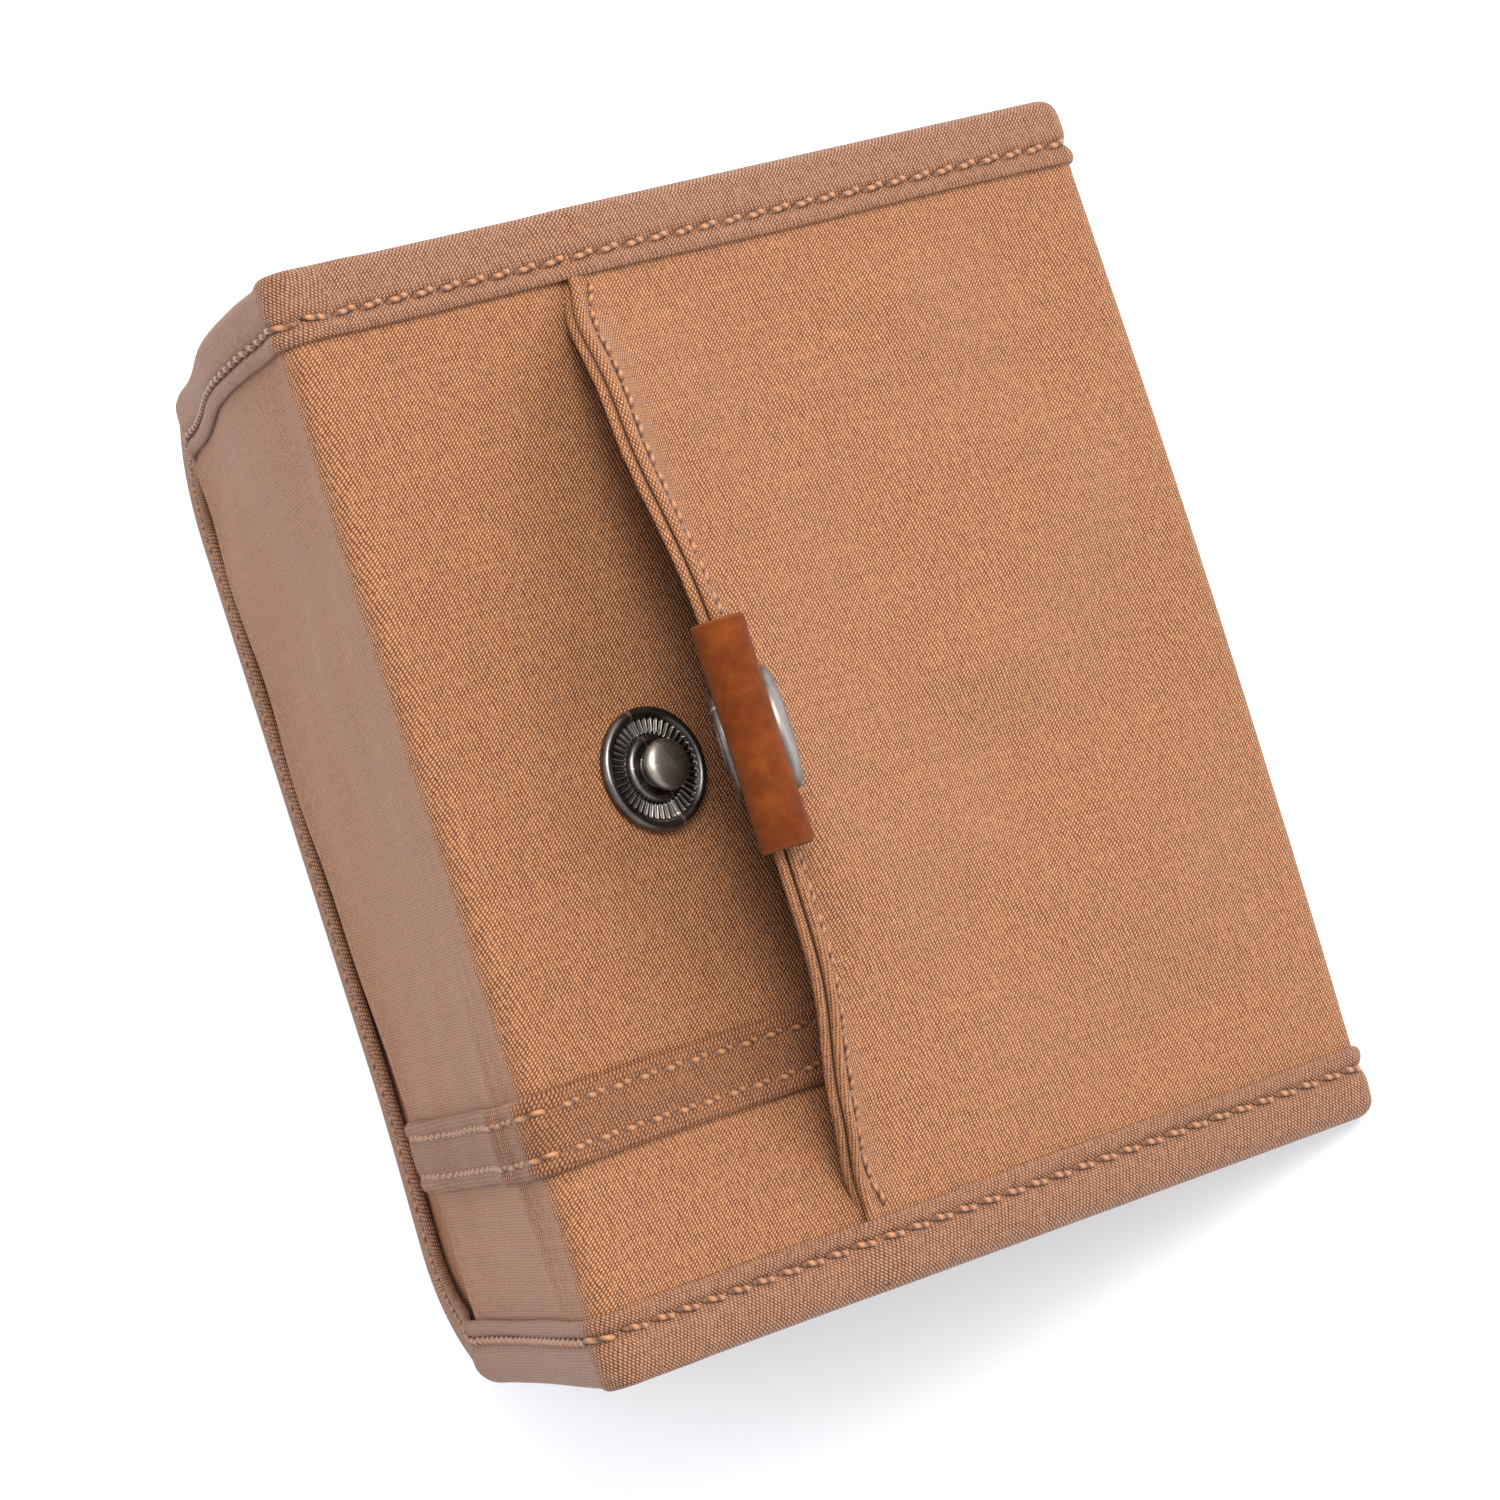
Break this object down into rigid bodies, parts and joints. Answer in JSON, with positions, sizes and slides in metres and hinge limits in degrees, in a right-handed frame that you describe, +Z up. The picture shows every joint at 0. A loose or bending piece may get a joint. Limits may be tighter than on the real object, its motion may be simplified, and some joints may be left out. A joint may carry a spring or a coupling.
{
  "type": "long wallet",
  "caption": "Folding fabric wallet standing half open like a tent: two halves on a narrow spine, with a bound edge, a strap and a snap pocket whose lip lifts.",
  "frame": {"origin": "centre of the footprint on the surface that both free ends stand on", "axes": "+Z up, +Y along the fold from the strap's end to the other, +X from the left half's free end to the right half's free end"},
  "size_m": [0.0936, 0.1, 0.0772],
  "materials": {
    "twill": "tan cotton twill, matt with a soft sheen",
    "tape": "tan twill binding tape",
    "strap": "tan twill strap, stitched near both edges",
    "lining": "brown plain-weave lining",
    "board": "flexible stiffener board",
    "leather": "brown nubuck leather",
    "gunmetal": "antique gunmetal",
    "thread": "tonal polyester thread"
  },
  "bodies": {
    "right_half": {"right_outer_panel": "twill", "right_stiffener": "board", "right_lining": "lining", "right_inner_pocket": "twill", "right_top_binding": "tape", "right_bottom_binding": "tape", "pocket_front_panel": "twill", "right_end_fold": "twill", "strap_right": "strap", "snap_stud": "gunmetal", "stud_washer": "gunmetal"},
    "spine": {"spine_outer_panel": "twill", "spine_lining": "lining", "spine_top_binding": "tape", "spine_bottom_binding": "tape", "strap_spine": "strap"},
    "left_half": {"left_pocket_panel": "twill", "left_base_panel": "twill", "left_stiffener": "board", "left_lining": "lining", "left_card_pocket": "twill", "left_binding": "tape", "left_end_binding": "tape", "strap_left": "strap"},
    "pocket_flap": {"pocket_lip": "twill", "hem_piping": "tape", "leather_tab": "leather", "snap_cap": "gunmetal", "snap_socket": "gunmetal"}
  },
  "joints": [
    {"name": "right_crease", "type": "hinge", "parent": "right_half", "child": "spine", "pos_m": [-0.00374, 0, 0.06973], "axis": [0, -1, 0], "range_deg": [0, 62.7]},
    {"name": "left_crease", "type": "hinge", "parent": "spine", "child": "left_half", "pos_m": [-0.00841, 0, 0.07623], "axis": [0, 1, 0], "range_deg": [0, 117.2]},
    {"name": "lip_fold", "type": "hinge", "parent": "right_half", "child": "pocket_flap", "pos_m": [0.01306, 0, 0.05286], "axis": [0, 1, 0], "range_deg": [-43, 60]}
  ]
}
